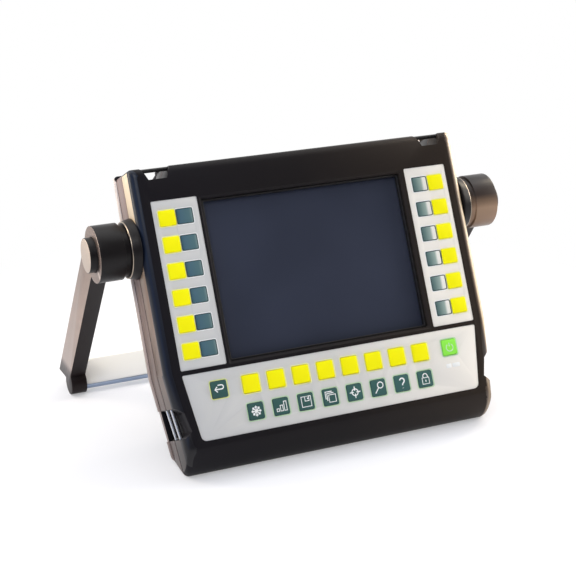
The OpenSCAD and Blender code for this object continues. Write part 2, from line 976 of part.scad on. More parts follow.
module battery_cover() {
    color([0.13, 0.13, 0.14])
        slab(battery_box(cover_lap), case_d - cover_t, case_d);
}

module case_screws() {
    head_y = case_d - counterbore - wall;
    color([0.6, 0.6, 0.62])
        at_lugs()
            difference() {
                union() {
                    rod(0, 0, screw_r - fit / 2, screw_tip_y, head_y);
                    rod(0, 0, screw_head_r, head_y, head_y + counterbore);
                }
                rod(0, 0, screw_r, head_y + counterbore / 2, head_y + counterbore + overrun, 6);
            }
}

module rear_pads(proud, grow) {
    for (v = [-pad_low_v, pad_top_v])
        both_sides()
            rod(pad_x, v, pad_r + grow, case_d - pad_sink, case_d + max(proud, overrun));
}

module rear_feet() {
    color([0.08, 0.08, 0.08])
        rear_pads(pad_h, 0);
}

module probe_sockets() {
    floor_y = case_d - bay_d;
    bore_share = 0.55;
    color([0.8, 0.8, 0.78])
        both_sides()
            difference() {
                union() {
                    rod(socket_x, bay_v, socket_base_r, floor_y, floor_y + socket_base_t);
                    rod(socket_x, bay_v, socket_r, floor_y, floor_y + socket_base_t + socket_len, 64);
                }
                rod(
                    socket_x, bay_v, socket_r * bore_share,
                    floor_y + socket_base_t, floor_y + socket_base_t + socket_len + overrun
                );
            }
}

// A round power inlet and a flat data socket between the probe sockets
module port_sockets() {
    floor_y = case_d - bay_d;
    port_len_share = 0.6;
    port_y = floor_y + bay_d * port_len_share;
    port_x = socket_x / 3;
    power_r = 5.5;
    power_bore_r = 3;
    data_w = 14;
    data_h = 7;
    data_wall = 1;
    color([0.2, 0.2, 0.22]) {
        difference() {
            rod(-port_x, bay_v, power_r, floor_y, port_y);
            rod(-port_x, bay_v, power_bore_r, floor_y + socket_base_t, port_y + overrun);
        }
        difference() {
            slab(centred_box(port_x, bay_v, data_w, data_h, 0), floor_y, port_y);
            slab(
                centred_box(port_x, bay_v, data_w - data_wall * 2, data_h - data_wall * 2, 0),
                floor_y + socket_base_t, port_y + overrun
            );
        }
    }
}

// Strap bars: one across each slot in the top edge, two across each slot in the sides
module strap_rods(grow) {
    side_bar_v = (side_slot_top + side_slot_low) / 2;
    side_bar_len = side_slot_low - side_slot_top + strap_in_wall * 2 + grow * 2;
    side_bar_x = side_at(-side_bar_v) - strap_r - gap;
    both_sides() {
        translate([0, strap_y, strap_top_v])
            axle(strap_r + grow, slot_in - strap_in_wall - grow, slot_out + strap_in_wall + grow);
        for (y = [side_strap_y, side_strap_y + side_strap_step])
            translate([side_bar_x, y, -side_bar_v])
                rotate([0, taper_deg, 0])
                    cylinder(r = strap_r + grow, h = side_bar_len, center = true, $fn = 64);
    }
}

module strap_bars() {
    color([0.62, 0.62, 0.64])
        strap_rods(0);
}

// The handle: drawn on the right, with the arm along Y, and mirrored for the left

module at_hub() {
    translate([0, hub_y, hub_v])
        children();
}

module on_arm() {
    at_hub()
        rotate([-arm_deg, 0, 0])
            children();
}

module arm_plate(x0, x1) {
    translate([x0, 0, 0])
        rotate([90, 0, 90])
            linear_extrude(x1 - x0)
                union() {
                    circle(r = hub_r, $fn = 64);
                    translate([foot_d, -arm_lo])
                        circle(r = foot_r, $fn = 48);
                    polygon([
                        [0, arm_hi],
                        [arm_len, arm_hi],
                        [arm_len - tip_cut_d, arm_hi - tip_cut_n - arm_lo],
                        [foot_d, -arm_lo],
                        [0, -arm_lo]
                    ]);
                }
}

module arm() {
    on_arm()
        difference() {
            union() {
                arm_plate(arm_in, hub_out);
                axle(hub_r, hub_in, hub_out);
                axle(neck_r, neck_in, hub_in + overrun);
            }
            axle(shaft_r + shaft_fit, neck_in - overrun, pocket_in + overrun);
            axle(shaft_head_r + gap, head_in - gap, pocket_in + overrun);
            axle(pocket_r, pocket_in, hub_out - lip_t);
            axle(button_r + gap, pocket_in, hub_out + overrun);
            bar_slab(arm_in - overrun, arm_in + tenon + fit, tenon_d, tenon_t, tenon_w, fit);
        }
}

module bar_slab(x0, x1, d, t, w, grow) {
    translate([x0, 0, 0])
        rotate([90, 0, 90])
            linear_extrude(x1 - x0)
                polygon(centred_box(d, bar_n, t + grow * 2, w + grow * 2, min(bar_r, t / 3)));
}

module handle_arm_left() {
    color([0.14, 0.135, 0.135])
        mirror([1, 0, 0])
            arm();
}

module handle_arm_right() {
    color([0.14, 0.135, 0.135])
        arm();
}

module handle_bar() {
    color([0.79, 0.82, 0.87])
        on_arm() {
            bar_slab(-arm_in, arm_in, bar_d, bar_t, bar_w, 0);
            bar_slab(-arm_in - tenon, arm_in + tenon, tenon_d, tenon_t, tenon_w, 0);
        }
}

module button() {
    on_arm() {
        axle(collar_r, button_in, button_in + collar_t);
        axle(button_r, button_in, hub_out + button_proud);
    }
}

module release_button_left() {
    color([0.55, 0.5, 0.48])
        mirror([1, 0, 0])
            button();
}

module release_button_right() {
    color([0.55, 0.5, 0.48])
        button();
}

// The springs are drawn as they lie under a pressed button: a flat wire ring
module release_springs() {
    color([0.7, 0.7, 0.7])
        both_sides()
            on_arm()
                difference() {
                    axle(spring_r, pocket_in, pocket_in + spring_t);
                    axle(spring_r - spring_w, pocket_in - overrun, pocket_in + overrun);
                }
}

module pivot_bases() {
    color([0.14, 0.135, 0.135])
        both_sides()
            at_hub()
                difference() {
                    axle(base_r, side, base_out, hub_r);
                    axle(shaft_r + shaft_fit, side - overrun, base_out + overrun);
                }
}

module pivot_shafts() {
    color([0.66, 0.66, 0.68])
        both_sides()
            at_hub() {
                axle(flange_r, side - wall - shaft_flange_t, side - wall);
                axle(shaft_r, side - wall - overrun, head_in + sliver);
                axle(shaft_head_r, head_in, head_in + shaft_head_t);
            }
}

placed() front_bezel();
placed() middle_frame();
placed() rear_shell();
placed() case_seals();
placed() display_trim();
placed() display_glass();
placed() display_module();
placed() key_panel_left();
placed() key_panel_right();
placed() key_panel_bottom();
placed() label_windows();
placed() keypad_boards();
placed() main_board();
placed() pulser_board();
placed() board_spacers();
placed() battery_pack();
placed() battery_cover();
placed() case_screws();
placed() strap_bars();
placed() probe_sockets();
placed() port_sockets();
placed() rear_feet();
placed() pivot_bases();
placed() pivot_shafts();
placed() handle_arm_left();
placed() handle_arm_right();
placed() handle_bar();
placed() release_button_left();
placed() release_button_right();
placed() release_springs();
placed() side_key(-1, 1);  // key_left_1
placed() side_key(-1, 2);  // key_left_2
placed() side_key(-1, 3);  // key_left_3
placed() side_key(-1, 4);  // key_left_4
placed() side_key(-1, 5);  // key_left_5
placed() side_key(-1, 6);  // key_left_6
placed() side_key(1, 1);  // key_right_1
placed() side_key(1, 2);  // key_right_2
placed() side_key(1, 3);  // key_right_3
placed() side_key(1, 4);  // key_right_4
placed() side_key(1, 5);  // key_right_5
placed() side_key(1, 6);  // key_right_6
placed() yellow_key(1);  // key_yellow_1
placed() yellow_key(2);  // key_yellow_2
placed() yellow_key(3);  // key_yellow_3
placed() yellow_key(4);  // key_yellow_4
placed() yellow_key(5);  // key_yellow_5
placed() yellow_key(6);  // key_yellow_6
placed() yellow_key(7);  // key_yellow_7
placed() yellow_key(8);  // key_yellow_8
placed() symbol_keycap(1);  // key_freeze
placed() symbol_keycap(2);  // key_signal
placed() symbol_keycap(3);  // key_save
placed() symbol_keycap(4);  // key_copy
placed() symbol_keycap(5);  // key_gate
placed() symbol_keycap(6);  // key_zoom
placed() symbol_keycap(7);  // key_help
placed() symbol_keycap(8);  // key_lock
placed() key_escape();
placed() key_power();
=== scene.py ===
"""Looks for the portable ultrasonic flaw detector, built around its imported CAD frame.

Pieces are drawn upright in millimetres, as in the part's source: x to the right, y into the case
and v up its front face, with zero at the middle of the face. settle() leans each one back into place.
"""

import math

import bmesh
import bpy
from mathutils import Matrix, Vector


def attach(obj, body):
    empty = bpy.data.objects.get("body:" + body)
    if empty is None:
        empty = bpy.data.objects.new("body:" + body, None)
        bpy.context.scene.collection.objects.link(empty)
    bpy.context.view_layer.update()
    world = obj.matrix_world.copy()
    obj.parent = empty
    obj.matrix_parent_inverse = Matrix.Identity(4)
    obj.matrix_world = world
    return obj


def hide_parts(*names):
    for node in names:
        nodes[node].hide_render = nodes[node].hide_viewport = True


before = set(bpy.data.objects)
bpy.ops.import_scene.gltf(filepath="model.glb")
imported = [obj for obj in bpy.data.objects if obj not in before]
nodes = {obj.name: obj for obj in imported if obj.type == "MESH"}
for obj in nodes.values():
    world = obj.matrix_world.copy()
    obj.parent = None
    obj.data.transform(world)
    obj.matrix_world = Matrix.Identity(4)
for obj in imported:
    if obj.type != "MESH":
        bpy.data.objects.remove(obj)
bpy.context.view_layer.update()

MM = 0.001

# Driving sizes, as in the part's source
LEAN = math.radians(27.75)
HEEL_Y = 24.549
HEEL_V = -136.085
PANEL_FACE = 0.3
KEY_TOP = -0.6
SIDE_KEY_MID = 111.05
SIDE_KEY_W = 12.7
SIDE_KEY_H = 11.6
SIDE_PITCH = 19.68
SIDE_FIRST_V = 50.87
LABEL_MID = 97.45
LABEL_W = 13.1
LOW_PITCH = 20.07
LOW_COLS = 8
YELLOW_KEY = 13.2
SYMBOL_KEY = 12.2
YELLOW_V = -78.4
SYMBOL_V = -98.95
ESCAPE_U = -95.3
POWER_U = 95.7
HUB_Y = 22.75
HUB_V = 34.5
HUB_OUT = 164.6
HUB_R = 21.2
RIM_END = 42.1
CASE_SIDE = 133.5
EDGE_R = 6.5
ARM = math.radians(28.6)
BUTTON_FACE = 169.1
BASE_RING_X = 140.3
BASE_RING_R = 20.75
BASE_RING_THICK = 0.5

# Places where a piece changes its finish or its painted light and shade, in mm
SIDE_ZONE = CASE_SIDE * 0.9
FILLET_END = EDGE_R + 2
TAPER_DRAW = 7
RIM_ZONE = 118
HUB_FACE = HUB_OUT - 0.2
HUB_ZONE = HUB_R + 0.1
PANEL_RIM = PANEL_FACE + 0.4
TOP_SLOT_FLOOR = 80
TOP_SLOT_OPEN = 89.9
TOP_SLOT_NEAR = 100
TOP_SLOT_FAR = 125
LOW_SLOT_FLOOR = -110
LOW_SLOT_OPEN = -86
LOW_SLOT_DEPTH = 7.5
LOW_SLOT_TAPER = 0.14

# Printed borders round the keys and windows, and the dark rims of painted shade inside the windows
BORDER_TOP = PANEL_FACE - 0.12
BORDER_FLOOR = PANEL_FACE + 0.05
LABEL_RIM_TOP = BORDER_TOP - 0.05
SIDE_BORDER_R = 1.7
SIDE_BORDER_W = 0.7
LOW_BORDER_GROW = 2.2
LOW_BORDER_R = 2.0
LOW_BORDER_W = 0.72
MARK_V = -92.6
MARK_H = 3.2
MARK_R = 0.5

# The camera of the photograph, in metres
CAMERA_PLACE = Vector((-0.4408, -0.90141, 0.5315))
CAMERA_RIGHT = Vector((0.91581, -0.40158, 0.005))
CAMERA_SIGHT = Vector((0.37434, 0.84901, -0.37289))
CAMERA_LENS = 92.33
LAMP_TARGET = (0, 0.05, 0.1)
FLOOR_REACH = 6.0

LEANED = Matrix.Rotation(-LEAN, 4, "X") @ Matrix.Translation((0, -HEEL_Y, -HEEL_V))
TO_ROW = Matrix.Scale(MM, 4) @ LEANED
INWARD = Vector((0, math.cos(LEAN), -math.sin(LEAN)))
UPWARD = Vector((0, math.sin(LEAN), math.cos(LEAN)))
TO_BODY = TO_ROW.inverted()
BAR_FRONT = Vector((0, -math.sin(ARM), -math.cos(ARM)))


# Meshes

def linked(name, data):
    """A new object that stands in the scene."""
    piece = bpy.data.objects.new(name, data)
    bpy.context.scene.collection.objects.link(piece)
    return piece


def mesh_object(name, bm):
    """A new object from a draft mesh, with its normals outward."""
    bmesh.ops.remove_doubles(bm, verts=bm.verts, dist=1e-5)
    bmesh.ops.recalc_face_normals(bm, faces=bm.faces)
    mesh = bpy.data.meshes.new(name)
    bm.to_mesh(mesh)
    bm.free()
    return linked(name, mesh)


def evaluated_mesh(piece):
    """The piece as it shows, with its modifiers applied or its curve turned into faces."""
    depsgraph = bpy.context.evaluated_depsgraph_get()
    return bpy.data.meshes.new_from_object(piece.evaluated_get(depsgraph))


def baked(piece, sharp=34):
    """Turns the piece and its modifiers into one plain mesh with smooth rounds and crisp edges."""
    mesh = evaluated_mesh(piece)
    piece.modifiers.clear()
    old = piece.data
    piece.data = mesh
    if old.users == 0:
        bpy.data.meshes.remove(old)
    mesh.name = piece.name
    mesh.shade_smooth()
    mesh.set_sharp_from_angle(angle=math.radians(sharp))
    return piece


def dressed(piece, finish):
    """Gives the piece one finish, or a list of them, in place of what it had."""
    piece.data.materials.clear()
    for one in finish if isinstance(finish, list) else [finish]:
        piece.data.materials.append(one)
    return piece


def bevelled(piece, width, rounds=2, sharp=30):
    """Adds a bevel to the edges of the piece that are sharper than an angle in degrees."""
    bevel = piece.modifiers.new("edge", "BEVEL")
    bevel.width = width
    bevel.segments = rounds
    bevel.limit_method = "ANGLE"
    bevel.angle_limit = math.radians(sharp)
    bevel.use_clamp_overlap = True
    return piece


def settle(piece, body, finish):
    """Leans a finished piece back into the row frame and fixes it to its body."""
    piece.data.transform(TO_ROW)
    dressed(piece, finish)
    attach(piece, body)
    return piece


def softened(node, edge, body, finish, rounds=2):
    """A CAD piece with its edges broken, in place of the node."""
    bm = bmesh.new()
    bm.from_mesh(nodes[node].data)
    bmesh.ops.remove_doubles(bm, verts=bm.verts, dist=2e-6)
    bmesh.ops.dissolve_limit(bm, angle_limit=math.radians(0.4), verts=bm.verts, edges=bm.edges)
    mesh = bpy.data.meshes.new(node)
    bm.to_mesh(mesh)
    bm.free()
    piece = linked(node + "_finish", mesh)
    if edge:
        bevelled(piece, edge * MM, rounds)
    dressed(baked(piece), finish)
    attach(piece, body)
    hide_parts(node)
    return piece


def painted(piece, chosen, index):
    """Gives another of its finishes to the faces that are chosen by their middle and their normal."""
    for face in piece.data.polygons:
        middle = TO_BODY @ face.center
        normal = Vector((face.normal.x, face.normal.dot(INWARD), face.normal.dot(UPWARD)))
        if chosen(middle, normal):
            face.material_index = index
    return piece


def rounded(w, h, r, u=0.0, v=0.0, steps=6):
    """Points of a rounded rectangle about (u, v)."""
    points = []
    for k, (sx, sy) in enumerate(((1, 1), (-1, 1), (-1, -1), (1, -1))):
        cx, cy = u + sx * (w / 2 - r), v + sy * (h / 2 - r)
        for i in range(steps + 1):
            a = math.radians(90 * k + 90 * i / steps)
            points.append((cx + r * math.cos(a), cy + r * math.sin(a)))
    return points


def prism_piece(name, outline, y0, y1):
    """A closed plate with one outline, from one depth to another."""
    bm = bmesh.new()
    front, back = ([bm.verts.new((u, y, v)) for u, v in outline] for y in (y0, y1))
    n = len(outline)
    bm.faces.new(front)
    bm.faces.new(back[::-1])
    for i in range(n):
        j = (i + 1) % n
        bm.faces.new((front[i], back[i], back[j], front[j]))
    return mesh_object(name, bm)


def frame_piece(name, w, h, r, rim, y0, y1, u=0.0, v=0.0):
    """A closed frame about (u, v) with rounded corners and a rim of one width."""
    outer = rounded(w, h, r, u, v)
    inner = rounded(w - rim * 2, h - rim * 2, max(r - rim, 0.2), u, v)
    bm = bmesh.new()
    n = len(outer)
    rings = [
        [bm.verts.new((at_u, y, at_v)) for at_u, at_v in outline]
        for outline, y in ((outer, y0), (outer, y1), (inner, y1), (inner, y0))
    ]
    for a in range(4):
        b = (a + 1) % 4
        for i in range(n):
            j = (i + 1) % n
            bm.faces.new((rings[a][i], rings[a][j], rings[b][j], rings[b][i]))
    return mesh_object(name, bm)


def ring_piece(name, x, r, thick, steps=96, rounds=10):
    """A thin round ring about the pivot, drawn to carry a painted glint."""
    bm = bmesh.new()
    loops = []
    for k in range(steps):
        a = 2 * math.pi * k / steps
        loop = []
        for i in range(rounds):
            b = 2 * math.pi * i / rounds
            reach = r + thick * math.cos(b)
            loop.append(bm.verts.new((
                x + thick * math.sin(b), HUB_Y + reach * math.cos(a), HUB_V + reach * math.sin(a),
            )))
        loops.append(loop)
    for k in range(steps):
        here, there = loops[k], loops[(k + 1) % steps]
        for i in range(rounds):
            j = (i + 1) % rounds
            bm.faces.new((here[i], here[j], there[j], there[i]))
    return mesh_object(name, bm)


# Repeats along a line, made with geometry nodes

def line_repeat(name, source, count, step, finish):
    """Copies of a source mesh along a straight line, as one plain mesh."""
    tree = bpy.data.node_groups.new(name + "_tree", "GeometryNodeTree")
    inputs = {}
    for label, kind in (("Count", "NodeSocketInt"), ("Step", "NodeSocketVector"),
                        ("Finish", "NodeSocketMaterial"), ("Piece", "NodeSocketObject")):
        inputs[label] = tree.interface.new_socket(label, in_out="INPUT", socket_type=kind)
    tree.interface.new_socket("Geometry", in_out="OUTPUT", socket_type="NodeSocketGeometry")
    group_in = tree.nodes.new("NodeGroupInput")
    group_out = tree.nodes.new("NodeGroupOutput")
    line = tree.nodes.new("GeometryNodeMeshLine")
    info = tree.nodes.new("GeometryNodeObjectInfo")
    place = tree.nodes.new("GeometryNodeInstanceOnPoints")
    real = tree.nodes.new("GeometryNodeRealizeInstances")
    paint = tree.nodes.new("GeometryNodeSetMaterial")
    join = tree.links.new
    join(group_in.outputs["Count"], line.inputs["Count"])
    join(group_in.outputs["Step"], line.inputs["Offset"])
    join(group_in.outputs["Piece"], info.inputs["Object"])
    join(line.outputs["Mesh"], place.inputs["Points"])
    join(info.outputs["Geometry"], place.inputs["Instance"])
    join(place.outputs["Instances"], real.inputs["Geometry"])
    join(real.outputs["Geometry"], paint.inputs["Geometry"])
    join(group_in.outputs["Finish"], paint.inputs["Material"])
    join(paint.outputs["Geometry"], group_out.inputs["Geometry"])

    piece = linked(name, bpy.data.meshes.new(name))
    modifier = piece.modifiers.new("repeat", "NODES")
    modifier.node_group = tree
    for label, value in (("Count", count), ("Step", step), ("Finish", finish), ("Piece", source)):
        modifier[inputs[label].identifier] = value
    baked(piece)
    bpy.data.objects.remove(source)
    return piece


# Finishes

def new_finish(name, colour, rough, metal=0.0, level=0.5):
    """A plain finish, for the patterns to work on."""
    material = bpy.data.materials.new(name)
    material.use_nodes = True
    shader = material.node_tree.nodes["Principled BSDF"]
    shader.inputs["Base Color"].default_value = (*colour, 1)
    shader.inputs["Roughness"].default_value = rough
    shader.inputs["Metallic"].default_value = metal
    shader.inputs["Specular IOR Level"].default_value = level
    return material


def pattern(material, scale, detail, stretch=(1, 1, 1)):
    """Noise on Object coordinates, turned with the lean of the case."""
    tree = material.node_tree
    coords = tree.nodes.new("ShaderNodeTexCoord")
    turn = tree.nodes.new("ShaderNodeMapping")
    noise = tree.nodes.new("ShaderNodeTexNoise")
    turn.inputs["Rotation"].default_value = (LEAN, 0, 0)
    turn.inputs["Scale"].default_value = stretch
    noise.inputs["Scale"].default_value = scale
    noise.inputs["Detail"].default_value = detail
    tree.links.new(coords.outputs["Object"], turn.inputs["Vector"])
    tree.links.new(turn.outputs["Vector"], noise.inputs["Vector"])
    return noise


def tinted(material, noise, low, high, spread=(0.35, 0.65)):
    """The base colour wanders between two tones with the noise."""
    tree = material.node_tree
    ramp = tree.nodes.new("ShaderNodeValToRGB")
    ramp.color_ramp.elements[0].position = spread[0]
    ramp.color_ramp.elements[1].position = spread[1]
    ramp.color_ramp.elements[0].color = (*low, 1)
    ramp.color_ramp.elements[1].color = (*high, 1)
    tree.links.new(noise.outputs["Fac"], ramp.inputs["Fac"])
    tree.links.new(ramp.outputs["Color"], tree.nodes["Principled BSDF"].inputs["Base Color"])


def uneven_gloss(material, noise, low, high):
    """The roughness wanders between two values with the noise."""
    tree = material.node_tree
    spread = tree.nodes.new("ShaderNodeMapRange")
    spread.inputs["To Min"].default_value = low
    spread.inputs["To Max"].default_value = high
    tree.links.new(noise.outputs["Fac"], spread.inputs["Value"])
    tree.links.new(spread.outputs["Result"], tree.nodes["Principled BSDF"].inputs["Roughness"])


def grained(material, noise, depth, strength=0.4):
    """A fine relief from the noise, with its depth in mm."""
    tree = material.node_tree
    bump = tree.nodes.new("ShaderNodeBump")
    bump.inputs["Distance"].default_value = depth * MM
    bump.inputs["Strength"].default_value = strength
    tree.links.new(noise.outputs["Fac"], bump.inputs["Height"])
    tree.links.new(bump.outputs["Normal"], tree.nodes["Principled BSDF"].inputs["Normal"])


def moulded(name, colour, rough, grain=900, depth=0.05, level=0.5, drift=0.12):
    """Moulded plastic: fine grain, a slow drift of tone and slightly uneven gloss."""
    material = new_finish(name, colour, rough, level=level)
    slow = pattern(material, 9, 2)
    low = tuple(c * (1 - drift) for c in colour)
    high = tuple(min(c * (1 + drift), 1) for c in colour)
    tinted(material, slow, low, high)
    uneven_gloss(material, pattern(material, 60, 3), rough * 0.92, rough * 1.08)
    grained(material, pattern(material, grain, 2), depth)
    return material


def banded(material, axis, start, stop, stops):
    """The drifting base colour is tinted by bands of tone along one axis, between two places in mm;
    most of these bands are painted light and shade.
    """
    tree = material.node_tree
    shader = tree.nodes["Principled BSDF"]
    drift = shader.inputs["Base Color"].links[0].from_socket
    coords = tree.nodes.new("ShaderNodeTexCoord")
    split = tree.nodes.new("ShaderNodeSeparateXYZ")
    along = tree.nodes.new("ShaderNodeMapRange")
    ramp = tree.nodes.new("ShaderNodeValToRGB")
    mixed = tree.nodes.new("ShaderNodeMix")
    along.inputs["From Min"].default_value = start * MM
    along.inputs["From Max"].default_value = stop * MM
    bands = ramp.color_ramp.elements
    for place, _ in stops[2:]:
        bands.new(place)
    for band, (place, colour) in zip(bands, stops):
        band.position = place
        band.color = (*colour, 1)
    mixed.data_type = "RGBA"
    mixed.blend_type = "MULTIPLY"
    mixed.inputs["Factor"].default_value = 1
    tree.links.new(coords.outputs["Object"], split.inputs["Vector"])
    tree.links.new(split.outputs[axis], along.inputs["Value"])
    tree.links.new(along.outputs["Result"], ramp.inputs["Fac"])
    tree.links.new(ramp.outputs["Color"], mixed.inputs["A"])
    tree.links.new(drift, mixed.inputs["B"])
    tree.links.new(mixed.outputs["Result"], shader.inputs["Base Color"])
    return material


def even(name, rough, grain=900, depth=0.05, level=0.5, drift=0.06):
    """A moulded finish in pale grey, to be tinted by bands of tone that carry painted light and shade.
    """
    return moulded(name, (0.97, 0.97, 0.97), rough, grain=grain, depth=depth, level=level, drift=drift)


def metal(name, colour, rough, stretch=(1, 1, 1), depth=0.01):
    """Worked metal with fine tool marks along one way."""
    material = new_finish(name, colour, rough, metal=1.0)
    marks = pattern(material, 700, 3, stretch)
    low = tuple(c * 0.88 for c in colour)
    tinted(material, marks, low, colour, spread=(0.3, 0.7))
    uneven_gloss(material, marks, rough * 0.8, rough * 1.2)
    grained(material, marks, depth, 0.25)
    return material


# Black case finish. Its tone turns lighter and browner toward the right side as a painted warm sheen.
case_black = banded(even("case_black", 0.38, level=0.07), "X", -CASE_SIDE, CASE_SIDE, (
    (0.0, (0.013, 0.012, 0.015)), (0.5, (0.016, 0.014, 0.0145)), (1.0, (0.034, 0.026, 0.021)),
))
# Painted cream highlight on the left flat side of the bezel, fading to dark brown toward the bottom.
side_cream = banded(even("side_cream", 0.34), "Z", 20, 200, (
    (0.0, (0.03, 0.022, 0.02)), (0.35, (0.13, 0.082, 0.06)), (0.6, (0.24, 0.155, 0.11)),
    (0.78, (0.6, 0.44, 0.28)), (1.0, (0.84, 0.68, 0.46)),
))
# Painted navy reflection on the left front fillet, darker toward the bottom.
edge_navy = banded(even("edge_navy", 0.3, level=0.28), "Z", 20, 190, (
    (0.0, (0.011, 0.01, 0.012)), (0.35, (0.008, 0.01, 0.018)), (1.0, (0.006, 0.011, 0.026)),
))
# Painted gold highlight across the right front fillet, and a weaker one on the fillet below the lower
# slot.
GOLD_HIGHLIGHT = (
    (0.0, (0.03, 0.021, 0.016)), (0.14, (0.08, 0.05, 0.033)), (0.3, (0.24, 0.16, 0.1)),
    (0.5, (0.8, 0.66, 0.45)), (0.75, (0.72, 0.56, 0.37)), (1.0, (0.16, 0.1, 0.07)),
)
edge_gold = banded(even("edge_gold", 0.34), "X", CASE_SIDE - EDGE_R, CASE_SIDE, GOLD_HIGHLIGHT)
edge_gold_low = banded(even("edge_gold_low", 0.34), "X", CASE_SIDE - EDGE_R - TAPER_DRAW,
                       CASE_SIDE - TAPER_DRAW, (
    (0.0, (0.03, 0.021, 0.016)), (0.3, (0.1, 0.065, 0.045)), (0.6, (0.3, 0.22, 0.14)),
    (1.0, (0.12, 0.08, 0.055)),
))
# Painted glint for the thin rings at the outer edge of the pivot bases.
edge_bright = metal("edge_bright", (0.5, 0.42, 0.34), 0.3)
# The middle frame's brown tone is a painted sheen, lighter toward the top.
case_brown = banded(even("case_brown", 0.36, level=0.4), "Z", 20, 190, (
    (0.0, (0.06, 0.04, 0.036)), (0.4, (0.16, 0.11, 0.095)), (1.0, (0.27, 0.19, 0.175)),
))
# Painted pale highlight on the rim of the rear shell, darker toward the bottom.
rim_pale = banded(even("rim_pale", 0.38, level=0.4), "Z", 20, 190, (
    (0.0, (0.16, 0.12, 0.11)), (0.4, (0.4, 0.32, 0.29)), (1.0, (0.74, 0.65, 0.6)),
))
seal_brown = moulded("seal_brown", (0.06, 0.04, 0.034), 0.6, depth=0.02)
hub_black = moulded("hub_black", (0.009, 0.0075, 0.008), 0.36, grain=1200, level=0.22)
# Handle arm finish. Its tone runs from near-black at the foot to bright in the middle and darker toward
# the top; the bright middle and the darker top are painted sheen.
arm_bronze = banded(metal("arm_bronze", (0.98, 0.98, 0.98), 0.42, (1, 0.3, 0.3), 0.02), "Z", 14, 150, (
    (0.0, (0.02, 0.014, 0.014)), (0.045, (0.08, 0.06, 0.055)), (0.09, (0.4, 0.33, 0.3)),
    (0.5, (0.42, 0.33, 0.295)), (1.0, (0.27, 0.21, 0.19)),
))
# Painted shade for the front-facing faces of the handle arms.
arm_dark = moulded("arm_dark", (0.013, 0.008, 0.008), 0.45, grain=1200, level=0.16)
# Painted warm highlight across the right hub, dark at its top.
hub_warm = banded(even("hub_warm", 0.36, level=0.35), "Z", 130, 174, (
    (0.0, (0.1, 0.065, 0.045)), (0.3, (0.3, 0.19, 0.12)), (0.52, (0.36, 0.235, 0.15)),
    (0.75, (0.05, 0.035, 0.03)), (1.0, (0.013, 0.011, 0.012)),
))
hub_end = metal("hub_end", (0.6, 0.5, 0.46), 0.4, (0.3, 1, 1))
trim_black = moulded("trim_black", (0.01, 0.009, 0.01), 0.4, depth=0.01)
# Grey key panels, lighter and warmer toward the right as painted light.
panel_grey = banded(even("panel_grey", 0.42, 1500, 0.02, drift=0.04), "X", -CASE_SIDE, CASE_SIDE, (
    (0.0, (0.63, 0.635, 0.635)), (0.5, (0.71, 0.705, 0.68)), (1.0, (1.0, 0.95, 0.87)),
))
panel_edge = moulded("panel_edge", (0.9, 0.9, 0.88), 0.4, depth=0.01, drift=0.02)
print_white = moulded("print_white", (0.92, 0.93, 0.92), 0.4, depth=0.01, drift=0.02)
print_yellow = moulded("print_yellow", (0.93, 0.92, 0.42), 0.4, depth=0.01, drift=0.03)
print_green = moulded("print_green", (0.55, 0.78, 0.5), 0.4, depth=0.01, drift=0.05)
print_lime = moulded("print_lime", (0.78, 0.86, 0.3), 0.4, depth=0.01, drift=0.05)
# Label windows. The left ones are darker at their left edge as painted shade. The right ones have
# painted shade at both edges and a painted pale reflection near their right edge.
label_left = banded(even("label_left", 0.22, 1500, 0.005, 0.3), "X",
                    -LABEL_MID - LABEL_W / 2, -LABEL_MID + LABEL_W / 2, (
    (0.0, (0.045, 0.1, 0.14)), (0.2, (0.075, 0.15, 0.2)), (0.8, (0.09, 0.17, 0.19)),
    (1.0, (0.2, 0.28, 0.28)),
))
label_right = banded(even("label_right", 0.22, 1500, 0.005, 0.3), "X",
                     LABEL_MID - LABEL_W / 2, LABEL_MID + LABEL_W / 2, (
    (0.0, (0.07, 0.13, 0.13)), (0.3, (0.17, 0.26, 0.25)), (0.62, (0.34, 0.44, 0.4)),
    (0.74, (0.85, 0.85, 0.81)), (0.94, (0.95, 0.92, 0.86)), (1.0, (0.2, 0.15, 0.12)),
))
# A dark rim of painted shade just inside each label window.
label_rim = moulded("label_rim", (0.03, 0.06, 0.065), 0.3, depth=0.005, level=0.3)
key_yellow = moulded("key_yellow", (1.0, 0.93, 0.0), 0.5, depth=0.02, drift=0.02, level=0.2)
key_teal = moulded("key_teal", (0.045, 0.12, 0.11), 0.4, depth=0.02, drift=0.25, level=0.3)
key_green = moulded("key_green", (0.28, 0.85, 0.08), 0.42, depth=0.02, drift=0.12, level=0.3)
screen = moulded("screen", (0.036, 0.042, 0.066), 0.12, depth=0.004, drift=0.12, level=0.4)
steel = metal("steel", (0.62, 0.62, 0.64), 0.28, (1, 8, 1))
bar_satin = moulded("bar_satin", (0.93, 0.925, 0.9), 0.5, grain=1500, depth=0.01, level=0.3, drift=0.03)
# Painted bluish reflection of the shaded floor on the front edge of the handle bar.
bar_edge = metal("bar_edge", (0.36, 0.44, 0.58), 0.34, (0.06, 1, 1), 0.02)
button_face = metal("button_face", (0.56, 0.475, 0.42), 0.45)
socket_metal = metal("socket_metal", (0.8, 0.8, 0.78), 0.18)
brass = metal("brass", (0.75, 0.6, 0.3), 0.3)
board_green = moulded("board_green", (0.02, 0.12, 0.05), 0.35, drift=0.2)
board_blue = moulded("board_blue", (0.02, 0.07, 0.16), 0.35, drift=0.2)
battery_wrap = moulded("battery_wrap", (0.05, 0.06, 0.08), 0.4)
port_black = moulded("port_black", (0.03, 0.03, 0.034), 0.4)
rubber = moulded("rubber", (0.018, 0.018, 0.018), 0.75, grain=500, depth=0.08)


# The case, its panels and its handle

